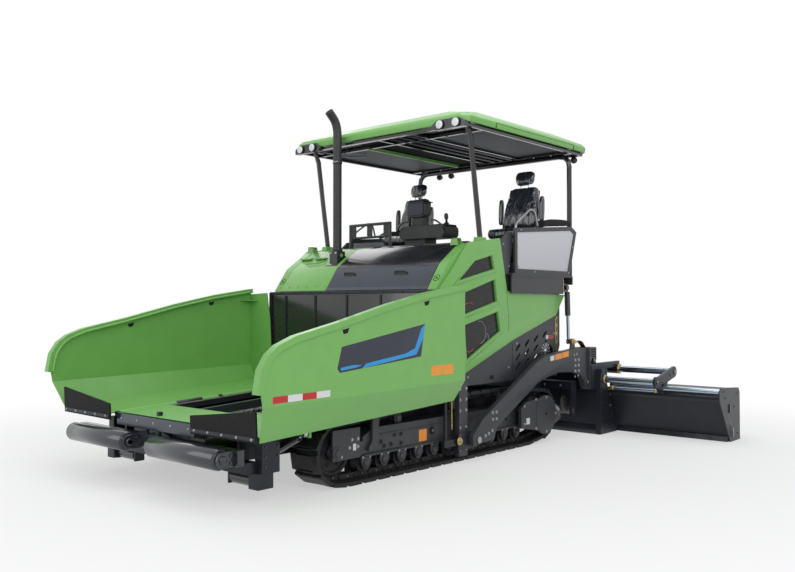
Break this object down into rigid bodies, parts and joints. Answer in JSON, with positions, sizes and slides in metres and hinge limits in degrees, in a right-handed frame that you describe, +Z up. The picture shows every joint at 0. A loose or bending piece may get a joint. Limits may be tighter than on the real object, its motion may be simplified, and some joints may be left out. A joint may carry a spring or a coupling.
{
  "type": "tracked asphalt paver",
  "caption": "Tracked asphalt paver with folding hopper wings, push rollers, an operator's canopy, augers and a lifting screed with telescoping extensions.",
  "frame": {"origin": "on the ground, midway along the machine's length and width", "axes": "+Z up; -Y is the way it paves, towards the hopper; +X is the machine's left"},
  "size_m": [5.786, 6.904, 3.8427],
  "materials": {
    "green_paint": "satin",
    "grey_paint": "satin",
    "black_paint": "satin",
    "track_steel": "matte",
    "worn_steel": "matte",
    "chrome": "polished",
    "rubber": "matte",
    "vinyl": "satin",
    "pane": "gloss"
  },
  "bodies": {
    "chassis": {"main_frame": "grey_paint", "front_bumper": "grey_paint", "hopper_floor": "black_paint", "conveyor": "worn_steel", "hopper_rear_wall": "black_paint", "engine_block": "grey_paint", "hood": "green_paint", "body_frame": "grey_paint", "platform": "grey_paint", "console": "black_paint", "canopy_frame": "black_paint", "roof": "green_paint", "exhaust": "black_paint", "auger_carrier": "grey_paint", "track_left": "track_steel", "track_right": "track_steel", "roller_frame_left": "grey_paint", "roller_frame_right": "grey_paint", "final_drive_left": "grey_paint", "final_drive_right": "grey_paint", "side_body_left": "green_paint", "side_body_right": "green_paint", "side_grille_left": "black_paint", "side_grille_right": "black_paint", "screen_pane_left": "pane", "screen_pane_right": "pane", "seat_left": "vinyl", "seat_right": "vinyl", "tow_column_left": "grey_paint", "tow_column_right": "grey_paint"},
    "push_beam": {"push_beam": "grey_paint"},
    "hood_door": {"hood_door": "black_paint"},
    "screed": {"tow_arm_left": "grey_paint", "tow_arm_right": "grey_paint", "screed_frame": "grey_paint", "screed_walkway": "black_paint"},
    "wing_left": {"hopper_wing_left": "green_paint", "wing_flap_left": "rubber"},
    "push_roller_left": {"push_roller_left": "black_paint"},
    "wing_cylinder_left": {"wing_cylinder_left": "black_paint"},
    "wing_piston_left": {"wing_piston_left": "chrome"},
    "tow_shuttle_left": {"tow_shuttle_left": "worn_steel"},
    "lift_cylinder_left": {"lift_cylinder_left": "black_paint"},
    "lift_piston_left": {"lift_piston_left": "chrome"},
    "extension_guide_left": {"extension_guide_left": "chrome"},
    "extension_left": {"extension_left": "grey_paint"},
    "auger_left": {"auger_left": "worn_steel"},
    "wing_right": {"hopper_wing_right": "green_paint", "wing_flap_right": "rubber"},
    "push_roller_right": {"push_roller_right": "black_paint"},
    "wing_cylinder_right": {"wing_cylinder_right": "black_paint"},
    "wing_piston_right": {"wing_piston_right": "chrome"},
    "tow_shuttle_right": {"tow_shuttle_right": "worn_steel"},
    "lift_cylinder_right": {"lift_cylinder_right": "black_paint"},
    "lift_piston_right": {"lift_piston_right": "chrome"},
    "extension_guide_right": {"extension_guide_right": "chrome"},
    "extension_right": {"extension_right": "grey_paint"},
    "auger_right": {"auger_right": "worn_steel"}
  },
  "joints": [
    {"name": "wing_fold_left", "type": "hinge", "parent": "chassis", "child": "wing_left", "pos_m": [0.645, -2.06, 0.64859], "axis": [0, -0.9986, -0.0528], "range_deg": [0, 50]},
    {"name": "wing_cylinder_swing_left", "type": "hinge", "parent": "chassis", "child": "wing_cylinder_left", "pos_m": [0.912, -2.69, 0.33], "axis": [0, -0.9986, -0.0528], "range_deg": [0, 46.96]},
    {"name": "wing_cylinder_stroke_left", "type": "slide", "parent": "wing_cylinder_left", "child": "wing_piston_left", "axis": [0.8974, -0.0233, 0.4405], "range_m": [0, 0.3291]},
    {"name": "wing_fold_right", "type": "hinge", "parent": "chassis", "child": "wing_right", "pos_m": [-0.645, -2.06, 0.64859], "axis": [0, 0.9986, 0.0528], "range_deg": [0, 50]},
    {"name": "wing_cylinder_swing_right", "type": "hinge", "parent": "chassis", "child": "wing_cylinder_right", "pos_m": [-0.912, -2.69, 0.33], "axis": [0, 0.9986, 0.0528], "range_deg": [0, 46.96]},
    {"name": "wing_cylinder_stroke_right", "type": "slide", "parent": "wing_cylinder_right", "child": "wing_piston_right", "axis": [-0.8974, -0.0233, 0.4405], "range_m": [0, 0.3291]},
    {"name": "push_beam_swing", "type": "hinge", "parent": "chassis", "child": "push_beam", "pos_m": [0, -3.175, 0.4], "axis": [0, 0, 1], "range_deg": [-4, 4]},
    {"name": "push_roller_spin_left", "type": "hinge", "parent": "push_beam", "child": "push_roller_left", "pos_m": [0.664, -3.367, 0.398], "axis": [1, 0, 0], "continuous": true},
    {"name": "push_roller_spin_right", "type": "hinge", "parent": "push_beam", "child": "push_roller_right", "pos_m": [-0.664, -3.367, 0.398], "axis": [1, 0, 0], "continuous": true},
    {"name": "hood_door_lift", "type": "hinge", "parent": "chassis", "child": "hood_door", "pos_m": [0.376, -0.0304, 2.2699], "axis": [-1, 0, 0], "range_deg": [0, 50]},
    {"name": "tow_point_left", "type": "slide", "parent": "chassis", "child": "tow_shuttle_left", "axis": [0, 0, 1], "range_m": [0, 0.28]},
    {"name": "tow_point_right", "type": "slide", "parent": "chassis", "child": "tow_shuttle_right", "axis": [0, 0, 1], "range_m": [0, 0.28]},
    {"name": "screed_lift", "type": "hinge", "parent": "tow_shuttle_left", "child": "screed", "pos_m": [1.366, -0.34, 0.215], "axis": [1, 0, 0], "range_deg": [0, 7]},
    {"name": "lift_cylinder_swing_left", "type": "hinge", "parent": "chassis", "child": "lift_cylinder_left", "pos_m": [1.293, 1.62, 1.8], "axis": [-1, 0, 0], "range_deg": [0, 16.25]},
    {"name": "lift_cylinder_stroke_left", "type": "slide", "parent": "lift_cylinder_left", "child": "lift_piston_left", "axis": [0, -0.0461, 0.9989], "range_m": [0, 0.2256]},
    {"name": "extension_slide_left", "type": "slide", "parent": "screed", "child": "extension_left", "axis": [1, 0, 0], "range_m": [-1.335, 0.08]},
    {"name": "extension_guide_slide_left", "type": "slide", "parent": "screed", "child": "extension_guide_left", "axis": [1, 0, 0], "range_m": [-0.6455, 0.039]},
    {"name": "auger_spin_left", "type": "hinge", "parent": "chassis", "child": "auger_left", "pos_m": [0.675, 1.76, 0.305], "axis": [1, 0, 0], "continuous": true},
    {"name": "lift_cylinder_swing_right", "type": "hinge", "parent": "chassis", "child": "lift_cylinder_right", "pos_m": [-1.293, 1.62, 1.8], "axis": [-1, 0, 0], "range_deg": [0, 16.25]},
    {"name": "lift_cylinder_stroke_right", "type": "slide", "parent": "lift_cylinder_right", "child": "lift_piston_right", "axis": [0, -0.0461, 0.9989], "range_m": [0, 0.2256]},
    {"name": "extension_slide_right", "type": "slide", "parent": "screed", "child": "extension_right", "axis": [-1, 0, 0], "range_m": [-1.335, 0.08]},
    {"name": "extension_guide_slide_right", "type": "slide", "parent": "screed", "child": "extension_guide_right", "axis": [-1, 0, 0], "range_m": [-0.6455, 0.039]},
    {"name": "auger_spin_right", "type": "hinge", "parent": "chassis", "child": "auger_right", "pos_m": [-0.675, 1.76, 0.305], "axis": [1, 0, 0], "continuous": true}
  ],
  "couplings": [
    {"joint": "wing_cylinder_swing_left", "follows": "wing_fold_left", "ratio": 0.93524},
    {"joint": "wing_cylinder_stroke_left", "follows": "wing_fold_left", "m_per_rad": 0.37594},
    {"joint": "wing_cylinder_swing_right", "follows": "wing_fold_right", "ratio": 0.93524},
    {"joint": "wing_cylinder_stroke_right", "follows": "wing_fold_right", "m_per_rad": 0.37594},
    {"joint": "tow_point_right", "follows": "tow_point_left", "ratio": 1},
    {"joint": "lift_cylinder_swing_left", "follows": "screed_lift", "ratio": 2.2926},
    {"joint": "lift_cylinder_stroke_left", "follows": "screed_lift", "m_per_rad": 1.8386},
    {"joint": "extension_guide_slide_left", "follows": "extension_slide_left", "ratio": 0.4831},
    {"joint": "lift_cylinder_swing_right", "follows": "screed_lift", "ratio": 2.2926},
    {"joint": "lift_cylinder_stroke_right", "follows": "screed_lift", "m_per_rad": 1.8386},
    {"joint": "extension_guide_slide_right", "follows": "extension_slide_right", "ratio": 0.4831}
  ]
}
